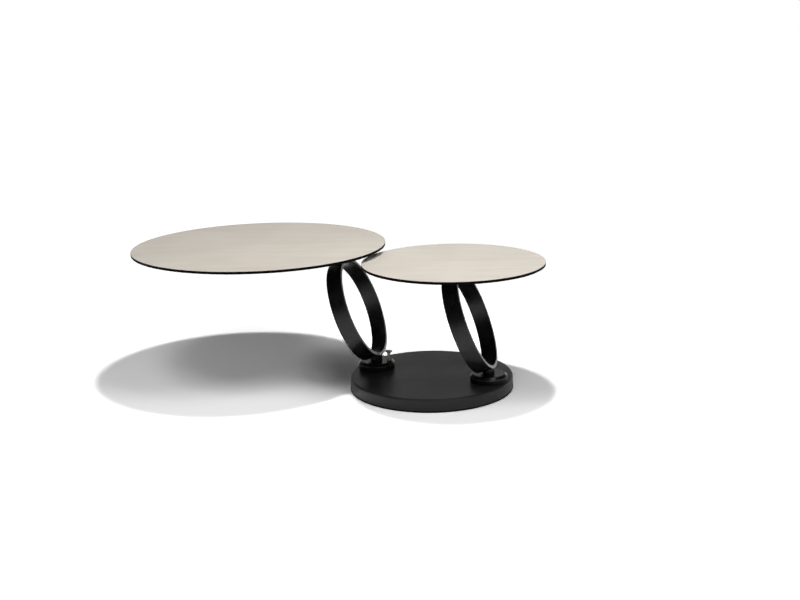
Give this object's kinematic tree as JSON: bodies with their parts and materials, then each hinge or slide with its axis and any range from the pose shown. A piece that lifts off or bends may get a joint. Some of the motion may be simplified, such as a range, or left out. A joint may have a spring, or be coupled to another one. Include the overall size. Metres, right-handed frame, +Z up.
{
  "type": "swivel coffee table",
  "caption": "Coffee table with round ceramic tops that swivel on leaning steel hoops over one weighted round base.",
  "frame": {"origin": "centre of the round base's underside, on the floor", "axes": "+Z up; X along the table's length, with both hoops leaning towards -X and the small top towards +X"},
  "size_m": [1.3134, 0.7999, 0.4295],
  "materials": {
    "ceramic_beige": "matt beige with faint fine streaks",
    "glass_black": "black toughened glass, polished edge",
    "hoop_black": "satin black powder coat",
    "base_black": "matt black fine-texture powder coat",
    "disc_black": "satin black powder coat",
    "slide_plastic": "natural slide plastic",
    "bronze": "turned bearing bronze",
    "spindle_steel": "turned steel",
    "zinc_steel": "zinc plated",
    "plate_steel": "black primer",
    "ballast_iron": "as cast",
    "felt": "needled felt",
    "bond": "clear grey adhesive",
    "pin_nickel": "satin nickel"
  },
  "bodies": {
    "base": {"base_pad": "felt", "base_plate": "plate_steel", "base_plate_screws": "zinc_steel", "ballast_disc": "ballast_iron", "base_cover": "base_black", "lower_disc_big": "disc_black", "lower_disc_screws_big": "zinc_steel", "bush_big": "bronze", "slide_washer_big": "slide_plastic", "lower_disc_small": "disc_black", "lower_disc_screws_small": "zinc_steel", "bush_small": "bronze", "slide_washer_small": "slide_plastic"},
    "big_arm": {"upper_disc_big": "disc_black", "spindle_big": "spindle_steel", "spindle_washer_big": "zinc_steel", "locknut_big": "zinc_steel", "lower_neck_big": "hoop_black", "hoop_big": "hoop_black", "upper_neck_big": "hoop_black", "neck_flange_big": "hoop_black", "flange_screws_big": "zinc_steel", "mount_plate_big": "disc_black", "bond_pad_big": "bond", "glass_panel_big": "glass_black", "ceramic_top_big": "ceramic_beige", "pin_guide": "disc_black"},
    "small_arm": {"upper_disc_small": "disc_black", "spindle_small": "spindle_steel", "spindle_washer_small": "zinc_steel", "locknut_small": "zinc_steel", "lower_neck_small": "hoop_black", "hoop_small": "hoop_black", "upper_neck_small": "hoop_black", "neck_flange_small": "hoop_black", "flange_screws_small": "zinc_steel", "mount_plate_small": "disc_black", "bond_pad_small": "bond", "glass_panel_small": "glass_black", "ceramic_top_small": "ceramic_beige"},
    "stop_pin": {"stop_pin": "pin_nickel", "stop_pin_knob": "pin_nickel"}
  },
  "joints": [
    {"name": "big_top_swivel", "type": "hinge", "parent": "base", "child": "big_arm", "pos_m": [-0.1855, 0.04112, 0.054], "axis": [0, 0, 1], "range_deg": [-85, 67]},
    {"name": "small_top_swivel", "type": "hinge", "parent": "base", "child": "small_arm", "pos_m": [0.1855, -0.04112, 0.054], "axis": [0, 0, 1], "continuous": true},
    {"name": "stop_pin_lift", "type": "slide", "parent": "big_arm", "child": "stop_pin", "axis": [0, 0, 1], "range_m": [0, 0.01]}
  ]
}
